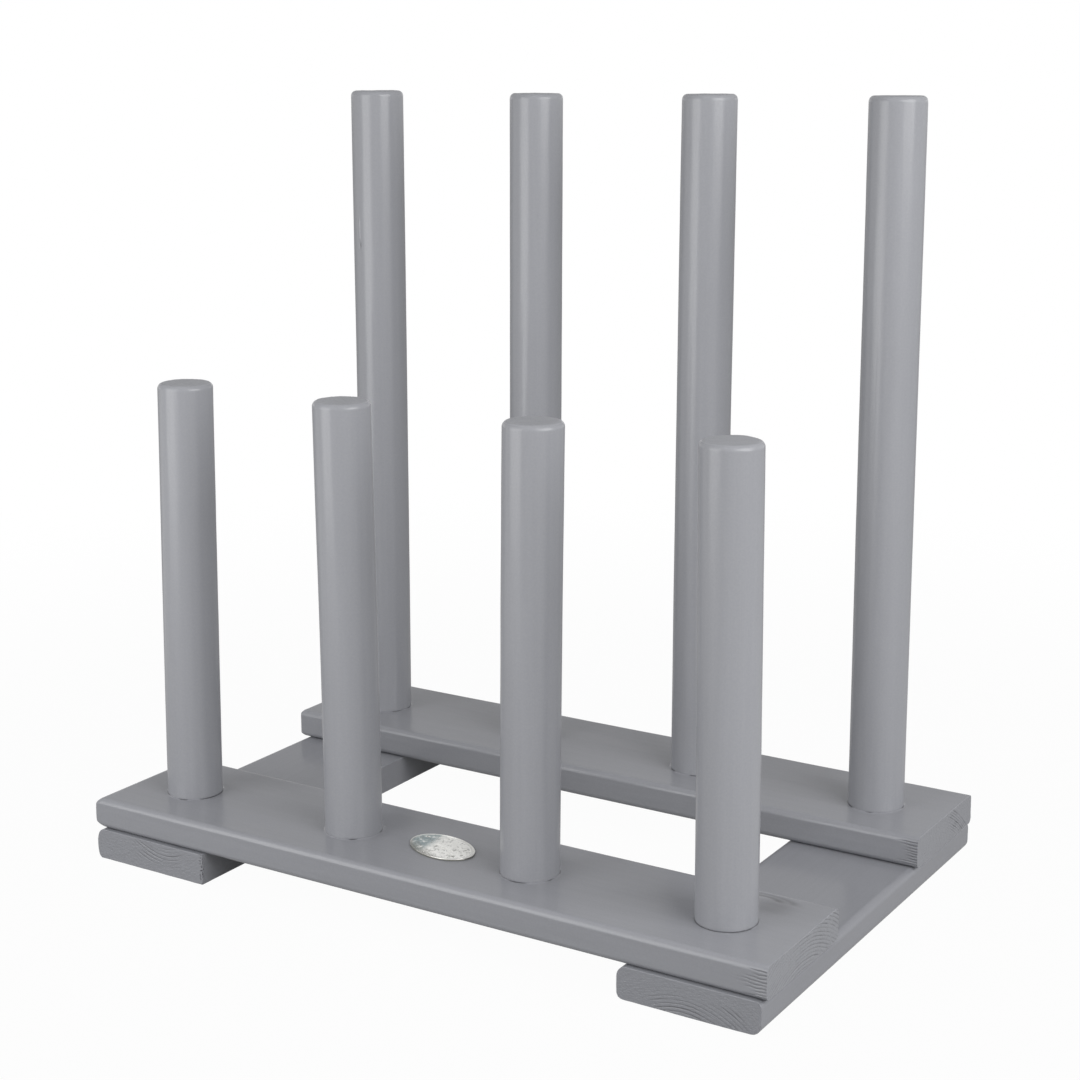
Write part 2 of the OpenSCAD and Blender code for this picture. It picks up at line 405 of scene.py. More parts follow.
def ring_relief(v, w, end, seed):
    """A narrow groove for each year, at a distance from the heart of the tree that wanders a
    little, and each year with its own depth. Inside the end's patch the grooves are at full
    depth, outside it at a part of it."""
    at = np.column_stack([v, w, 0 * v])
    year = np.hypot(v - end["heart"][0], w - end["heart"][1]) / end["pitch"]
    year = year + 0.09 * waves(seed, (34, 22, 34), 10)(at)
    part = year - np.floor(year)
    strength = np.random.default_rng(seed + 2).uniform(0.35, 1.3, 64)
    depth = (0.85 + 0.3 * waves(seed + 1, (14, 5, 14), 12)(at)) * strength[
        np.floor(year).astype(int) % 64]
    v0, v1, w0, w1 = end["patch"]
    near = span(v, (v0 - 8, v0 + 4), (v1 - 4, v1 + 8))
    near = near * span(w, (w0 - 3, w0 + 2), (w1 - 2, w1 + 3))
    first, last = end["years"]
    near = near * span(year * end["pitch"], (first - 2, first + 2), (last - 2, last + 2))
    groove = bell(part - 0.5, GROOVE_WIDTH) * depth.clip(0.1, 1.3)
    return groove * (end["faint"] + (1 - end["faint"]) * near)


# %% Relief where a peg stands in a rail
def joint_relief(points, spots, seed):
    """Around each peg, paint lies in a thin collar where it has bridged the joint. The collar is a
    bell curve across the joint and comes and goes around it, and small chips lie beside it. The
    second value is painted shade along the joint line, strongest where the paint left it open."""
    height, dark = np.zeros(len(points)), np.zeros(len(points))
    for number, (x, y, filled, *open_places) in enumerate(spots):
        away = np.hypot(points[:, 0] - x, points[:, 1] - y)
        near = (away < 23) & (away > 15) & (points[:, 2] > RAIL_TOP - 0.5)
        at, ring = points[near], away[near]
        here = soft(filled + 0.55 * waves(seed + number, (16, 16, 90), 12)(at), 0.25, 0.75)
        around = np.arctan2(at[:, 0] - x, y - at[:, 1])
        for open_place in open_places:
            here = here * (1 - bell(around - np.radians(open_place), 0.16))
        chips = soft(waves(seed + 40 + number, (2.2, 2.2, 90), 40)(at), 0.7, 1.6)
        collar = 0.62 * here * bell(ring - PEG_RADIUS + 0.1, 0.62)
        height[near] += collar + 0.26 * chips * bell(ring - PEG_RADIUS - 1, 0.7)
        # Painted shade along the joint line, strongest where it stayed open
        dark[near] += (1 - 0.8 * here) * bell(ring - PEG_RADIUS, 0.38)
    return height, dark


# %% Torn grain beside a sawn end, and a small knot
def torn_grain(points, normals, high, reach, pitch, seed):
    """Grooves along the grain on the front face beside its last end, as far apart as the yearly
    rings, each with its own length."""
    u, v, w = points.T
    phase = w / pitch + 0.12 * waves(seed, (9, 90, 8), 8)(points)
    number, part = np.floor(phase).astype(int), phase - np.floor(phase)
    length = np.random.default_rng(seed).uniform(0.5, 1.15, 64)[number % 64] * reach
    groove = bell(part - 0.5, GROOVE_WIDTH) * (1 - soft(high[0] - u, 0.35 * length, length))
    return groove * soft(-normals[:, 1], 0.6, 0.95)


def knot(points, normals, at, size):
    """The back halves of two oval furrows, each a bell curve across an ellipse, around a knot of
    the given half sizes."""
    q = np.hypot((points[:, 0] - at[0]) / size[0], (points[:, 1] - at[1]) / size[1])
    on_top = (normals[:, 2] > 0.9) & (points[:, 2] > RAIL_TOP - 1)
    arcs = bell(q - 1, 0.32) + 0.8 * bell(q - 1.85, 0.3)
    return on_top * arcs * soft(points[:, 1] - at[1], -1.0, 0.5)


# %% Make one board
END_EASE = 0.5
# Along, across and in height: depths where a line always lies, and the step up to each depth
DEPTHS = ((0, 0.5, 1.5, 5, 16), (0, 0.6, 4, 4.8, 7), (0, 0.6, 4, 7))
STEPS = (((0.5, 0.13), (1.5, 0.35), (5, 0.7), (16, 1.0), (np.inf, 5.0)),
         ((0.6, 0.2), (4.8, 0.7), (np.inf, 1.8)), ((0.6, 0.2), (4.8, 0.45), (np.inf, 0.4)))
PEG_STEP = 1.9
PLAIN_END, SEEN_END = (2, 1), (4, 2)


def board(name, slot, along, corners, holes, ends, seed, tips=(), extra=None):
    """Box skin, round corners, then relief along the normals. along is the axis of the grain.
    ends gives the rings of the first and the last end face."""
    axes = [along, 1 - along, 2]
    low, high = (corner[axes] for corner in box_mm(name))

    def axis_lines(axis):
        """Lines at set depths, at the edges of the holes' patches, and between by steps that
        grow with the depth. Along the board they stay narrow beside a peg."""
        patches = [(hole["at"][axis], hole["patch"]) for hole in holes if axis < 2]
        stops = [value for depth in DEPTHS[axis]
                 for value in (low[axis] + depth, high[axis] - depth)]
        stops += [at + side * patch for at, patch in patches for side in (-1, 1)]

        def step(value):
            depth = min(value - low[axis], high[axis] - value)
            by_peg = axis == 0 and any(abs(value - at) < patch > 10 for at, patch in patches)
            wide = next(wide for limit, wide in STEPS[axis] if depth < limit)
            return min(wide, PEG_STEP) if by_peg else wide
        return lines(stops, step)

    u_lines, v_lines, w_lines = (axis_lines(axis) for axis in range(3))
    end_parts = [SEEN_END if end["seen"] else PLAIN_END for end in ends]
    points, quads, triangles = box_skin(u_lines, v_lines, w_lines, holes, end_parts)
    points = rounded(points, low, high, corners, tips, END_EASE)
    normals = normals_of(points, quads, triangles)
    u, v, w = points.T
    depth = np.minimum(u - low[0], high[0] - u)
    inset = np.minimum(np.minimum(v - low[1], high[1] - v), np.minimum(w - low[2], high[2] - w))
    on_end = soft(np.abs(normals[:, 0]), 0.7, 0.95) * soft(1.2 - depth, 0.2, 1.0)
    outside = (soft(-inset, -0.7, -0.2) + on_end).clip(0, 1)
    height = 0.05 * waves(seed, (160, 30, 30))(points) + 0.02 * waves(seed + 1, (50, 7, 7))(points)
    height += 0.03 * on_end * waves(seed + 9, (3, 1.6, 1.6), 40)(points)
    # This mark darkens the paint as painted shade: in the ring grooves here, in furrows and chips
    # below
    crack = np.zeros(len(points))
    for side, end in zip((-1, 1), ends):
        here = on_end * soft(inset, 0.0, 0.8) * (np.sign(normals[:, 0]) == side)
        rings = here * ring_relief(v - low[1], w - low[2], end, seed + 2)
        crack += rings * min(1, end["depth"] / 0.3)
        height -= end["depth"] * rings
    height = height * outside
    marks = {"end": on_end, "joint": np.zeros(len(points)), "crack": crack}
    if extra:
        height = height + extra(points, normals, low, high, marks)
    points = points + normals * height[:, None]
    points[:, 2] = points[:, 2].clip(low[2], high[2] if along == 1 else None)
    world = np.empty_like(points)
    world[:, axes] = points
    if along == 1:
        quads, triangles = quads[:, ::-1], triangles[:, ::-1]
    add_piece(name + "_board", name, slot, world, quads, triangles, marks)


# %% [markdown]
# ## The holes
#
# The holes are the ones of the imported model: sockets with a screw hole through their floor for
# the pegs, countersunk holes for the screws through the feet, and two small ones for the badge.

# %% Hole profiles, in millimetres
PEG_X = (-196.5, -65.5, 65.5, 196.5)
PEG_Y = {"front": -110.5, "back": 105.5}
PEG_RADIUS, TENON_RADIUS, SOCKET_RADIUS, SOCKET_FLOOR = 18.0, 12.5, 12.8, 29.7
RAIL_BOTTOM, RAIL_TOP = 20.0, 40.0
# Of each screw's hole: its radius, the radius of its mouth, and the heights of the countersink
SHANK, MOUTH, FLARE_TOP, FLARE_END = 2.7, 4.95, 22.65, 20.4
FOOT_SHANK, FOOT_MOUTH, FOOT_FLARE_TOP, FOOT_FLARE_END = 2.45, 4.45, 2.4, 0.4
# Where the holes that end in the wood stop: at full width, and at the tip of the cone
PILOT_END, PILOT_TIP, PEG_HOLE_END, PEG_HOLE_TIP, TIP_RADIUS = 29.4, 35.6, 64.4, 70.6, 0.2
SPIKE_HOLE_RADIUS, SPIKE_HOLE_END = 1.7, 31.8
SOCKET_RIMS = [21, 20.3, 19.8, 19.4, 19.1, 18.85, 18.6, 18.35, 18.1, 17.8, 17.4, 15]
# Of each kind: half width of its square patch, radii of the rings on the face that it starts
# from, radius and height of the rings inside, and whether it opens above and below
HOLES = {
    "socket": (22, SOCKET_RIMS + [SOCKET_RADIUS],
               [(SOCKET_RADIUS, SOCKET_FLOOR), (8, SOCKET_FLOOR), (SHANK, SOCKET_FLOOR),
                (SHANK, FLARE_TOP), (MOUTH, FLARE_END), (MOUTH, RAIL_BOTTOM)], True, True),
    "pilot": (5, [FOOT_SHANK], [(FOOT_SHANK, PILOT_END), (TIP_RADIUS, PILOT_TIP)], False, True),
    "spike": (3, [SPIKE_HOLE_RADIUS], [(SPIKE_HOLE_RADIUS, SPIKE_HOLE_END)], True, False),
    "foot": (5.5, [FOOT_SHANK], [(FOOT_SHANK, FOOT_FLARE_TOP), (FOOT_MOUTH, FOOT_FLARE_END),
                                 (FOOT_MOUTH, 0)], True, True)}


def drill(kind, u, v):
    """A hole of one kind, u along the board and v across it."""
    names = ("patch", "rims", "profile", "top", "bottom")
    return {"at": (u, v), **dict(zip(names, HOLES[kind]))}


CROSSING_X = {"left": (-224.5, -168.5), "right": (224.5, 168.5)}
CROSSING_Y = {"front": (-138.5, -77.5), "back": (77.5, 138.5)}
BADGE_AT, BADGE_AXIS, SPIKE_PITCH = np.array([0, -107.5]), direction(np.radians(-15)), 26
spikes = [BADGE_AT + side * SPIKE_PITCH / 2 * BADGE_AXIS for side in (-1, 1)]
print("badge spikes at", [np.round(spot, 2).tolist() for spot in spikes])

# %% [markdown]
# ## The two rails and the two feet
#
# All four are planed boards. The rails have all long edges rounded by 4 mm, and their left tips
# are worn rounder. Each foot is worn differently: the left one is square on its inner edges and
# well rounded on its outer ones, the right one is roundest along its lower outer edge. One
# function makes all four, because only numbers differ.

# %% The end faces: where the heart of the tree lay, and how deep the rings are
def end_face(heart, pitch, depth, patch=(0, 100, 0, 20), faint=0.35, seen=False, years=(0, 999)):
    """heart is measured from the face's lower first corner. Rings are clearest in the patch, at
    distances from the heart within years."""
    return {"heart": heart, "pitch": pitch, "depth": depth, "patch": patch, "faint": faint,
            "seen": seen, "years": years}


rail_ends = {
    "front": [end_face((52, -70), 2.4, 0.2),
              end_face((44, -64), 2.2, 0.4, (46, 95, 6, 20), 0.85, True)],
    "back": [end_face((60, -80), 2.5, 0.2),
             end_face((15, -70), 1.75, 0.45, (57, 95, -3, 23), 0.15, True, (88, 101))]}
foot_ends = {
    "left": [end_face((57, 50), 2.4, 0.28, (36, 68, 8, 19), 0.14, True),
             end_face((40, -60), 2.4, 0.2)],
    "right": [end_face((43, -45), 2.3, 0.32, (26, 78, 0, 10), 0.1, True),
              end_face((50, 75), 2.4, 0.2)]}

# %% The four boards
# How far the paint has bridged the joint at each peg, from 0, an open line, to 1, filled, and
# then the azimuths of places that stayed open, from 0 in front to 90 at the right
JOINT_FILL = {"front": ((0.4,), (0.95, 108), (0.95, -52, 118), (0.0,)),
              "back": ((0.9, 100), (0.7,), (0.8,), (0.75, 98))}
# Corners and tips: the two sides, then the half axes or the radius of the round
rail_corners = [(v, w, 4, 4) for v in (-1, 1) for w in (-1, 1)]
left_corners = [(-1, -1, 3.8, 9.5), (-1, 1, 5.5, 9.5), (1, -1, 0.6, 0.6), (1, 1, 0.6, 0.6)]
right_corners = [(-1, -1, 4.5, 4.5), (-1, 1, 6.5, 6.5), (1, -1, 7.0, 7.0), (1, 1, 4.5, 4.5)]
rail_tips = {"front": [(-1, -1, 6.5), (-1, 1, 5.0)], "back": [(-1, -1, 3.5), (-1, 1, 2.5)]}
# How far the torn grain reaches from the end, how deep and how far apart its furrows are
TORN_GRAIN = {"front": (17, 0.45, 2.0), "back": (14, 0.5, 1.8)}
# The knot's middle and half sizes, and the middle of a spot of painted shade beside it
KNOT_AT, KNOT_HALF, PAINTED_SPOT_AT = (200, 83), (11, 3.4), (211, 75)


def rail_extra(row, seed):
    """What only a rail has: joints, torn grain, and on the front one the knot and beside it a spot
    of painted shade that stands for a dark reflection, flat in the middle and falling off with the
    cube of the distance."""
    def extra(points, normals, low, high, marks):
        spots = [(x, PEG_Y[row], *fill) for x, fill in zip(PEG_X, JOINT_FILL[row])]
        height, marks["joint"] = joint_relief(points, spots, seed + 100)
        reach, depth, pitch = TORN_GRAIN[row]
        torn = torn_grain(points, normals, high, reach, pitch, seed + 5)
        # The torn furrows are painted darker, as painted shade
        marks["crack"] += torn * depth / 0.45
        height = height - depth * torn
        if row == "front":
            welt = knot(points, normals, (KNOT_AT[0], low[1] + KNOT_AT[1]), KNOT_HALF)
            away = np.hypot(points[:, 0] - PAINTED_SPOT_AT[0],
                            points[:, 1] - low[1] - PAINTED_SPOT_AT[1])
            painted_spot = np.exp(-away ** 3 / 1500) * (points[:, 2] > RAIL_TOP - 0.5)
            height = height - 0.4 * welt
            # The knot's furrows and the spot beside it are painted darker, as painted shade
            marks["crack"] += 0.9 * welt + 0.65 * painted_spot
        return height
    return extra


for row, seed in (("front", 11), ("back", 31)):
    holes = [drill("socket", x, PEG_Y[row]) for x in PEG_X]
    for side in ("left", "right"):
        holes += [drill("pilot", x, y) for x, y in zip(CROSSING_X[side], CROSSING_Y[row])]
    if row == "front":
        holes += [drill("spike", *spot) for spot in spikes]
    board(row + "_rail", "rail_paint", 0, rail_corners, holes, rail_ends[row], seed,
          rail_tips[row], rail_extra(row, seed))


def worn_edge(points, normals, low, high, marks):
    """The left foot's upright inner edge at its front end is chipped: waves that are cut off below
    a level, and fade away from the edge. The chips are also painted darker, as painted shade."""
    away = np.hypot(points[:, 0] - low[0], high[1] - points[:, 1])
    chips = soft(waves(777, (1.7, 1.7, 2.2), 40)(points), 0.1, 0.9) * (1 - soft(away, 0.9, 3.0))
    marks["crack"] += 1.1 * chips
    return -0.7 * chips


for side, seed, corners in (("left", 51, left_corners), ("right", 71, right_corners)):
    holes = [drill("foot", y, x) for row in ("front", "back")
             for x, y in zip(CROSSING_X[side], CROSSING_Y[row])]
    board(side + "_foot", "foot_paint", 1, corners, holes, foot_ends[side], seed,
          extra=worn_edge if side == "left" else None)

# %% [markdown]
# ## The pegs
#
# A peg is a length of dowel. Its top is rounded over, its foot is turned down to a tenon that
# fills the socket, and a screw hole runs up its middle. Blender's spin would give a perfect
# cylinder. A real dowel is faintly flattened here and there, and it leans a little and is a bit
# thicker or longer than its neighbour. So each ring's radius changes a little with height and
# angle, and the whole drifts sideways towards its top.

# %% Make one peg
PEG_SIDES = 144
TOP_ROUND, FOOT_EASE = 3.5, 0.8
FINE_RING, WIDE_RING = 0.9, 2.4


def peg_profile(low, high, fine=()):
    """Radius and height from the tip of the screw hole, round the tenon, up the wall and over
    the top. The rounds are quarter circles. fine is a span of heights with closer rings."""
    turn, ease = np.linspace(0, np.pi / 2, 12), np.linspace(0, np.pi / 2, 5)
    foot_end, top_start = RAIL_TOP + 6, high - 12
    close = [(RAIL_TOP, foot_end), (top_start, high)] + [fine] * bool(fine)
    wall = lines([RAIL_TOP + FOOT_EASE, foot_end, top_start, high - TOP_ROUND, *fine],
                 lambda z: FINE_RING if any(a < z < b for a, b in close) else WIDE_RING)
    inner = [(TIP_RADIUS, PEG_HOLE_TIP), (SHANK, PEG_HOLE_END), (SHANK, low),
             (TENON_RADIUS - 0.4, low), (TENON_RADIUS, low + 0.4), (TENON_RADIUS, RAIL_TOP),
             (15, RAIL_TOP)]
    foot = np.column_stack([PEG_RADIUS - FOOT_EASE + FOOT_EASE * np.sin(ease),
                            RAIL_TOP + FOOT_EASE - FOOT_EASE * np.cos(ease)])
    side = np.column_stack([np.full(len(wall) - 2, PEG_RADIUS), wall[1:-1]])
    top = np.column_stack([PEG_RADIUS - TOP_ROUND + TOP_ROUND * np.cos(turn),
                           high - TOP_ROUND + TOP_ROUND * np.sin(turn)])
    inwards = np.arange(PEG_RADIUS - TOP_ROUND - 0.5, 0.4, -0.5)
    disc = np.column_stack([inwards, np.full(len(inwards), high)])
    return np.concatenate([inner, foot, side, top, disc])


def paint_run(points, azimuth, low, high):
    """A run of paint: a ridge along the peg that ends in a small notch. Both are bell curves
    across the peg, and the notch is one along it too."""
    across = PEG_RADIUS * (np.arctan2(points[:, 0], -points[:, 1]) - np.radians(azimuth))
    z = points[:, 2]
    ridge = bell(across, 0.5) * span(z, (low + 6, low + 8), (high - 3, high))
    return ridge, bell(across - 0.4, 0.8) * bell(z - low - 3, 2.2)


def bent(points, skin, height, lean, swell, longer):
    """From the rail upwards the skin drifts sideways by lean, its radius grows by swell and it
    stretches by longer. All are full at the top and grow with the height, the drift with its
    power 1.3."""
    rise = skin * ((points[:, 2] - RAIL_TOP) / (height - RAIL_TOP)).clip(0, 1)
    points = points.copy()
    points[:, :2] *= (1 + swell / PEG_RADIUS * rise)[:, None]
    points[:, :2] += lean * (rise ** 1.3)[:, None] * direction(TURN)
    points[:, 2] += longer * rise
    return points


def peg(name, seed, habit, run=None):
    """Carry the profile round, close both ends on a point, then add the dowel's unevenness. run
    is the azimuth and the two heights of a run of paint."""
    low, high = box_mm(name)
    centre = (low[:2] + high[:2]) / 2
    profile = peg_profile(low[2], high[2], run[1:] if run else ())
    angle = even_angles(PEG_SIDES)
    if run:
        beside = np.radians(run[0] - 90) + np.arange(-2.0, 2.01, 0.2) / PEG_RADIUS
        angle = np.unique(np.round(np.append(angle, beside % (2 * np.pi)), 4))
    points, quads, triangles = closed(profile[:, None, :1] * direction(angle), profile[:, 1])
    normals = normals_of(points, quads, triangles)
    by_top = points[:, 2] > high[2] - 2
    skin = (np.hypot(points[:, 0], points[:, 1]) > 6) | by_top
    outside = soft(points[:, 2], RAIL_TOP, RAIL_TOP + 3) * skin
    height = 0.05 * waves(seed, (22, 22, 260))(points) + 0.02 * waves(seed + 1, (8, 8, 60))(points)
    height += 0.022 * waves(seed + 4, (7, 7, 500), 16)(points)
    heart = np.random.default_rng(seed + 2).uniform(25, 60) * direction(seed)
    on_top = soft(normals[:, 2], 0.75, 0.97) * by_top
    end = end_face(heart, 2.6, 0.12, (-20, 20, -20, 20))
    rings = ring_relief(points[:, 0], points[:, 1], end, seed + 3)
    height = height * outside - end["depth"] * on_top * rings
    # The ring grooves on the top and the notch of a paint run are painted darker, as painted shade
    crack = on_top * rings * 0.2
    if run:
        ridge, notch = paint_run(points, *run)
        height, crack = height + 0.5 * ridge - 0.8 * notch, crack + notch
    points = bent(points + normals * height[:, None], skin, high[2], *habit)
    points[:, :2] += centre
    add_piece(name + "_dowel", name, "peg_paint", points, quads, triangles,
              {"end": on_top, "joint": np.zeros(len(points)), "crack": crack})


# %% The eight pegs
# How far each dowel's top leans to the right, how much thicker and how much longer it is than
# the plain solid there, in millimetres
HABITS = {"front": ((1.7, -0.4, 0.3), (-3.2, -0.2, 0.3), (2.2, 0.25, 0.0), (-1.6, 0.1, 1.6)),
          "back": ((-1.1, 0.5, -0.7), (1.1, 0.0, -1.4), (1.8, 0.0, -0.6), (0.2, 0.0, -0.4))}
PAINT_RUNS = {"peg_back_1": (-14, 384, 407)}
for row, first in (("front", 100), ("back", 200)):
    for place, habit in enumerate(HABITS[row], 1):
        name = f"peg_{row}_{place}"
        peg(name, first + 7 * place, habit, PAINT_RUNS.get(name))

# %% [markdown]
# ## The badge
#
# A thin oval casting with a raised rim and two spikes under it. Its face is a generic hammered
# one, a little domed. The rings of the surface run from the middle of the underside, round the
# edge and the rim, to the middle of the face.

# %% Make the badge
BADGE_HALF = np.array([24.5, 16.0])
BADGE_BASE, BADGE_RIM, BADGE_FACE, RIM_WIDTH = 40.0, 41.4, 41.0, 1.1
BADGE_SIDES, SPIKE_SIDES = 420, 24


def badge_rings():
    """Inset from the outline and height, ring by ring, from the underside to the face."""
    turn = np.linspace(0, np.pi, 13)
    under = [(inset, BADGE_BASE) for inset in (15.6, 12, 8, 4, 1, 0.25)]
    edge = [(0.08, BADGE_BASE + 0.08), (0, BADGE_BASE + 0.25), (0, BADGE_RIM - 0.5)]
    rim = [(RIM_WIDTH / 2 * (1 - np.cos(t)), BADGE_RIM - 0.5 + 0.5 * np.sin(t)) for t in turn]
    face = [(inset, BADGE_FACE) for inset in lines([RIM_WIDTH + 0.1, 15.7], lambda inset: 0.27)]
    return np.array(under + edge + rim[1:] + face)


def badge_face(points, inset):
    """A low dome, a fine bead just inside the rim, short wavy tool marks, small dents, and broken
    lines that wind where a slow wave crosses nought. Returns the height and how deep in a hollow
    each point lies."""
    away = np.hypot(points[:, 0] / BADGE_HALF[0], points[:, 1] / BADGE_HALF[1])
    bead = bell(inset - 2.6, 0.35)
    swirl = waves(403, (7, 7, 90), 20)(points)
    strokes = np.sin(2 * np.pi * (points[:, 0] * 0.42 + points[:, 1] * 0.30 + 0.9 * swirl))
    dents = waves(401, (2.1, 2.1, 90), 60)(points)
    fine = waves(402, (1.1, 1.1, 90), 60)(points)
    line = bell(waves(404, (6, 6, 90), 40)(points), 0.28)
    line = line * soft(waves(405, (8, 8, 90), 40)(points), -0.7, 0.4)
    relief = 0.07 * dents + 0.06 * fine + 0.04 * strokes - 0.12 * line
    inner = soft(inset, 2.2, 3.4)
    hollow = (0.8 * line + soft(-relief, 0.13, 0.27)).clip(0, 1)
    lip = 0.5 * bell(inset - 1.9, 0.3)
    return 0.3 * (1 - away ** 2) + 0.08 * bead + relief * inner, hollow * inner + lip


def spike_shell(side):
    """A pin of the casting: rings from inside the plate down to its tip."""
    spike = np.array([(1.5, BADGE_BASE + 0.4), (1.5, BADGE_BASE - 6), (0.3, BADGE_BASE - 8)])
    at = np.array([side * SPIKE_PITCH / 2, 0])
    circle = direction(even_angles(SPIKE_SIDES))
    shell, quads, tips = closed(spike[:, None, :1] * circle + at, spike[:, 1], at)
    return shell, quads[:, ::-1], tips[:, ::-1]


def badge(name):
    """An oval ring is (half length - inset) cos, (half width - inset) sin. The relief moves the
    rings of the face up or down."""
    rings = badge_rings()
    oval = (BADGE_HALF - rings[:, None, :1]) * direction(even_angles(BADGE_SIDES))
    skin, quads, triangles = closed(oval, rings[:, 1])
    points, inset = skin[:-2], np.repeat(rings[:, 0], BADGE_SIDES)
    above = points[:, 2] > BADGE_BASE + 0.6
    on_face = above * soft(inset, RIM_WIDTH - 0.1, RIM_WIDTH + 0.4)
    height, hollow = badge_face(points, inset)
    points[:, 2] += on_face * height
    rim = above * (1 - soft(inset, RIM_WIDTH - 0.2, RIM_WIDTH + 0.2))
    skin[-1] = points[-BADGE_SIDES:].mean(0)
    skin, quads, triangles = joined([(skin, quads, triangles), spike_shell(-1), spike_shell(1)])
    marks = {mark: np.append(values, np.zeros(len(skin) - len(values)))
             for mark, values in (("rim", rim), ("hollow", on_face * hollow))}
    turned = np.array([BADGE_AXIS, [-BADGE_AXIS[1], BADGE_AXIS[0]]])
    skin[:, :2] = skin[:, :2] @ turned + BADGE_AT
    add_piece("badge_plate", name, "badge_pewter", skin, quads, triangles, marks)


badge("badge")

# %% [markdown]
# ## Writing finishes as sums
#
# A material is a small network of nodes. Drawing it by hand is slow to read, so one class stands
# for a socket, and plus, minus and times on it add the Math nodes.

# %% A wire that can be used in sums
def connect(node, inputs):
    """Link each wire to the node's input of that name, and write each plain value there."""
    for key, value in inputs.items():
        if isinstance(value, Wire):
            value.tree.links.new(value.output, node.inputs[key])
        else:
            node.inputs[key].default_value = value


class Wire:
    """An output socket. Sums on wires and numbers add Math nodes, as in 1 - mask * 0.5."""

    def __init__(self, tree, output):
        self.tree, self.output = tree, output

    def make(self, kind, settings=None, inputs=None, output=0):
        """Any other node: its settings first, then a value or a wire for each input."""
        node = self.tree.nodes.new(kind)
        for name, value in (settings or {}).items():
            setattr(node, name, value)
        connect(node, inputs or {})
        return Wire(self.tree, node.outputs[output])

    def math(self, operation, first, second, clamp=False):
        return self.make("ShaderNodeMath", {"operation": operation, "use_clamp": clamp},
                         {0: first, 1: second})

    def __add__(self, other):
        return self.math("ADD", self, other)

    __radd__ = __add__

    def __sub__(self, other):
        return self.math("SUBTRACT", self, other)

    def __rsub__(self, other):
        return self.math("SUBTRACT", other, self)

    def __mul__(self, other):
        return self.math("MULTIPLY", self, other)

    __rmul__ = __mul__

    def capped(self, other=0.0):
        """The sum of both, held between 0 and 1."""
        return self.math("ADD", self, other, True)

    def within(self, low, high):
        """0 at low, 1 at high, smooth between."""
        return self.make("ShaderNodeMapRange", {"interpolation_type": "SMOOTHSTEP"},
                         {"Value": self, "From Min": low, "From Max": high})

    def blend(self, first, second):
        """The colour first where this wire is 0, and second where it is 1."""
        return self.make("ShaderNodeMix", {"data_type": "RGBA"}, {0: self, 6: first, 7: second}, 2)


def new_finish(name):
    """A material with an empty Principled shader, and a wire to start its sums from."""
    material = bpy.data.materials.new(name)
    material.use_nodes = True
    shader = material.node_tree.nodes["Principled BSDF"]
    place = material.node_tree.nodes.new("ShaderNodeTexCoord").outputs["Object"]
    return material, shader, Wire(material.node_tree, place)


def noise(place, scale, detail=2.0):
    """Noise from 0 to 1. Its scale, per metre, is one number or one for each axis."""
    scale = scale if isinstance(scale, tuple) else (scale,) * 3
    spot = place.make("ShaderNodeVectorMath", {"operation": "MULTIPLY"}, {0: place, 1: scale})
    return place.make("ShaderNodeTexNoise", {"noise_dimensions": "3D"},
                      {"Vector": spot, "Scale": 1.0, "Detail": detail, "Roughness": 0.5})


def mark(place, name):
    """The value that each point of the mesh carries under this name."""
    return place.make("ShaderNodeAttribute", {"attribute_name": name}, {}, "Fac")


def coordinate(place, axis):
    """One coordinate, in metres."""
    return place.make("ShaderNodeSeparateXYZ", {}, {0: place}, axis)


def bump(height, strength, distance):
    """A normal tilted by the slope of height."""
    return height.make("ShaderNodeBump", {}, {"Height": height, "Strength": strength,
                                              "Distance": distance})


def colour(red, green, blue):
    return (red, green, blue, 1.0)


# %% [markdown]
# ## The grey paint
#
# A satin oil paint, brushed on softwood. Up close it shows brush lines along the grain, a fine
# skin like orange peel, slightly paler and darker streaks, and pores on the end grain. The three
# paints differ in the way that the grain runs, and a little in tone and gloss. The tones stand for
# one grey paint: the feet's darker grey is painted shade and the pegs' paler grey painted light.
# Grooves, chips and open joints blend towards a near black, as painted shade.

# %% Paint for the rails, the feet and the pegs
TONE_RANGE = (0.82, 1.18)
# The near black that grooves, chips and open joints blend towards, as painted shade
SHADE_COLOUR = colour(0.08, 0.08, 0.085)


def paint(name, grain, base, sheen):
    """grain is the axis along which streaks are long, sheen the mean roughness."""
    material, shader, place = new_finish(name)

    def scale(along, across):
        return tuple(along if axis == grain else across for axis in range(3))

    streaks, brush = noise(place, scale(7, 260), 3), noise(place, scale(22, 1500))
    peel, mottle, speck = noise(place, 900), noise(place, 14), noise(place, 800, 1)
    pits = noise(place, 1700).within(0.36, 0.5)
    end, joint, crack = (mark(place, name) for name in ("end", "joint", "crack"))
    tone = (mottle - 0.5) * 0.12 + (streaks - 0.5) * 0.2 + (speck - 0.5) * 0.24 + 0.5
    dark, pale = (colour(*(value * part for value in base)) for part in TONE_RANGE)
    # How far the colour goes towards that near black: painted shade in grooves, chips and open
    # joints
    shade_amount = (joint * 0.6).capped(crack * 0.55)
    height = (streaks * 0.35 + brush * 0.25) * (1 - end) + peel * 0.12 + pits * end * 0.5
    connect(shader, {"Base Color": shade_amount.blend(tone.capped().blend(dark, pale), SHADE_COLOUR),
                     "Roughness": sheen + (mottle - 0.5) * 0.08 + end * 0.2,
                     "Normal": bump(height, 0.35, 0.0004)})
    print("finish", name, len(material.node_tree.nodes), "nodes")
    return material


# The real rack has one grey paint: the feet's darker grey is painted shade, the pegs' paler grey
# painted light
finishes = {"rail_paint": paint("rail_paint", 0, (0.286, 0.291, 0.313), 0.22),
            "foot_paint": paint("foot_paint", 1, (0.263, 0.268, 0.290), 0.18),
            "peg_paint": paint("peg_paint", 2, (0.326, 0.331, 0.354), 0.25)}

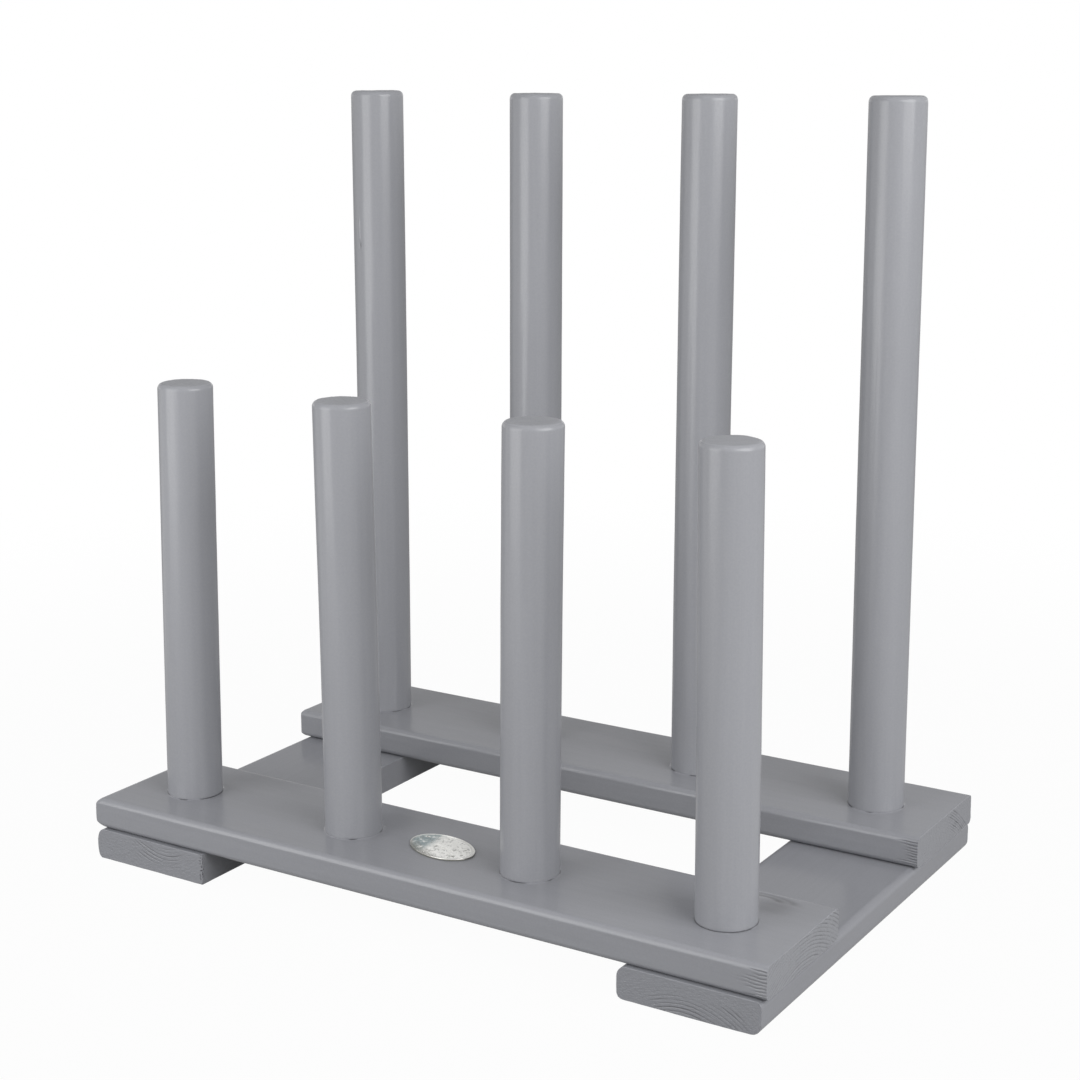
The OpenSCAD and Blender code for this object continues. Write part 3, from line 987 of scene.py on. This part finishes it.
# %% [markdown]
# ## Pewter and zinc
#
# The badge is cast pewter: pale where hands have rubbed its rim and face, dark in its hollows,
# bluish on its left third and darker in a speckled band along its front. Its side wall is painted
# darker all round, as painted shade. The marks that the mesh carries say where the rim and the
# hollows are, so the dark always lies in the real relief. The screws are plated with zinc.

# %% Metal finishes
TINT_X, TINT_FADE = -0.004, 0.008
BADGE_WALL, FRONT_BAND = (0.0408, 0.0411), (0.1045, 0.1115)
PALE, BLUISH = colour(1.0, 0.995, 0.96), colour(0.32, 0.385, 0.4)
# The second colour is painted shade on the side wall, and the tone of a darker band along the
# front of the face
HOLLOW, SHADE_AND_FRONT_TONE = colour(0.2, 0.21, 0.19), colour(0.27, 0.27, 0.24)


def pewter(name):
    """Pale metal. Its hollows are dark, its left third is bluish green, and its side wall is
    painted darker, as painted shade.
    """
    material, shader, place = new_finish(name)
    cloud, grain = noise(place, 170, 3), noise(place, 1500)
    x, y, z = (coordinate(place, axis) for axis in "XYZ")
    rim, hollow = mark(place, "rim"), mark(place, "hollow")
    # The left third is tinted bluish green in clouds, less on the rim
    left = (x + (cloud - 0.5) * 0.012).within(TINT_X, TINT_X - TINT_FADE)
    left_tint = left * cloud.within(0.32, 0.54) * (1 - rim * 0.7)
    # A speckled band along the front of the face, made darker
    toward = (x * -0.45 - y * 0.9 + (cloud - 0.5) * 0.006).within(*FRONT_BAND)
    front_band = toward * grain.within(0.3, 0.55) * 0.8
    # The side wall below the face, painted darker as painted shade
    wall = 1 - z.within(*BADGE_WALL)
    dark = hollow * (grain.within(0.3, 0.6) * 0.5 + 0.5) * (1 - rim)
    tint = (dark * 0.8).blend(left_tint.blend(PALE, BLUISH), HOLLOW)
    connect(shader, {"Base Color": wall.math("MAXIMUM", wall, front_band).blend(tint, SHADE_AND_FRONT_TONE),
                     "Roughness": 0.32 + left_tint * 0.2, "Metallic": rim * 0.8,
                     "Normal": bump(grain, 0.5, 0.0002)})
    return material


def zinc(name):
    """Bright metal with faint dull clouds."""
    material, shader, place = new_finish(name)
    cloud = noise(place, 500)
    connect(shader, {"Base Color": cloud.blend(colour(0.62, 0.62, 0.6), colour(0.5, 0.5, 0.47)),
                     "Roughness": 0.25 + cloud * 0.2, "Metallic": 1.0})
    return material


finishes["badge_pewter"] = pewter("badge_pewter")
finishes["screw_zinc"] = zinc("screw_zinc")

# %% Give every piece its finish
slot_of = {part["node"]: part["material_slot"] for part in frame["record"]["subparts"]}
solids = [(solid, slot_of[node]) for node, solid in frame["nodes"].items()]
for thing, slot in pieces + solids:
    thing.data.materials.clear()
    thing.data.materials.append(finishes[slot])
print("finished", len(pieces), "pieces and", len(solids), "solids")

# %% [markdown]
# ## Floor, sky and lamps
#
# The rack stands in a white studio. The floor and the sky are white to the camera. The paint
# mirrors the far floor in front and the low sky as white, and the rest darker, as in a real room.
# Near the rack the floor that the paint mirrors is darker still, a painted shadow of the rack.
# Two soft lamps light it. The left one is low and close, because an upright peg mirrors what lies
# level with it, and that draws the pale band along each peg. The broad one on the right gives most
# of the light.

# %% The floor
REACH = 30.0
# NEAR_MIRROR is the floor's brightness in mirrors near the rack, low as a painted shadow of it
NEAR_MIRROR, SIDE_MIRROR, RIGHT_LOSS = 0.28, 0.18, 0.34
NEAR_WHITE = 0.97


def ray_kinds(wire):
    """Three wires: 1 for a ray from the camera, off a mirror-like surface, or through glass."""
    return [wire.make("ShaderNodeLightPath", {}, {}, f"Is {kind} Ray")
            for kind in ("Camera", "Glossy", "Transmission")]


floor_mesh = bpy.data.meshes.new("floor")
floor_mesh.from_pydata([(-REACH, -REACH, 0), (REACH, -REACH, 0), (REACH, REACH, 0),
                        (-REACH, REACH, 0)], [], [(0, 1, 2, 3)])
floor = put("floor", floor_mesh)
material, shader, place = new_finish("studio_floor")
seen, glossy, through = ray_kinds(place)
far = place.make("ShaderNodeVectorMath", {"operation": "LENGTH"}, {0: place}, "Value")
across, depth = (coordinate(place, axis) for axis in "XY")
away, front = far.within(0.42, 0.95), 1 - depth.within(-0.1, 0.1)
in_front = 1 - RIGHT_LOSS * across.within(-0.2, 0.2)
# Near the rack this is dark, a painted shadow of the rack in what the paint mirrors
mirrored = NEAR_MIRROR * (1 - away) + away * (SIDE_MIRROR + front * (in_front - SIDE_MIRROR))
glow = place.make("ShaderNodeEmission", {}, {"Color": colour(1, 1, 1), "Strength": 1.0})
matt = place.make("ShaderNodeBsdfDiffuse", {}, {"Color": colour(0.35, 0.35, 0.35)})
to_camera = seen * (NEAR_WHITE + (1 - NEAR_WHITE) * far.within(0.4, 1.2))
white = to_camera.capped((glossy + through) * mirrored)
connect(material.node_tree.nodes["Material Output"],
        {"Surface": place.make("ShaderNodeMixShader", {}, {0: white, 1: matt, 2: glow})})
floor_mesh.materials.append(material)
print("floor", 2 * REACH, "m wide")

# %% The sky
SKY_LIGHT = 0.49
SKY_LOW, SKY_HIGH = 0.06, 0.22
world = bpy.data.worlds.new("studio")
bpy.context.scene.world = world
world.use_nodes = True
tree = world.node_tree
toward = Wire(tree, tree.nodes.new("ShaderNodeTexCoord").outputs["Generated"])
seen, glossy, through = ray_kinds(toward)
low_sky = 1 - coordinate(toward, "Z").within(SKY_LOW, SKY_HIGH)
white = seen.capped((glossy + through) * low_sky)
connect(tree.nodes["Background"], {"Color": colour(1, 1, 1),
                                   "Strength": SKY_LIGHT + (1 - SKY_LIGHT) * white})
print("sky light", SKY_LIGHT)

# %% The lamps
LIT_POINT = Vector((0, -0.05, 0.2))


def softbox(name, azimuth, elevation, distance, size, watts):
    """A lamp, wide by high, that looks at the rack from two angles in degrees."""
    light = bpy.data.lights.new(name, "AREA")
    light.shape, light.size, light.size_y, light.energy = "RECTANGLE", *size, watts
    lamp = put(name, light)
    away = outward(*np.radians([azimuth, elevation]))
    lamp.location = LIT_POINT + away * distance
    lamp.rotation_euler = (-away).to_track_quat("-Z", "Y").to_euler()
    lamp.visible_camera = False
    print(name, "stands", distance, "m away with", watts, "W")


softbox("lamp_left", -29, 13, 1.1, (0.8, 0.95), 6.0)
softbox("lamp_right", 76, 27, 1.5, (1.2, 1.0), 15.8)

# %% [markdown]
# ## Colour
#
# The view transform is the plain one, so a colour on screen is the colour that was written.

# %% Use the plain view transform
bpy.context.scene.view_settings.view_transform = "Standard"
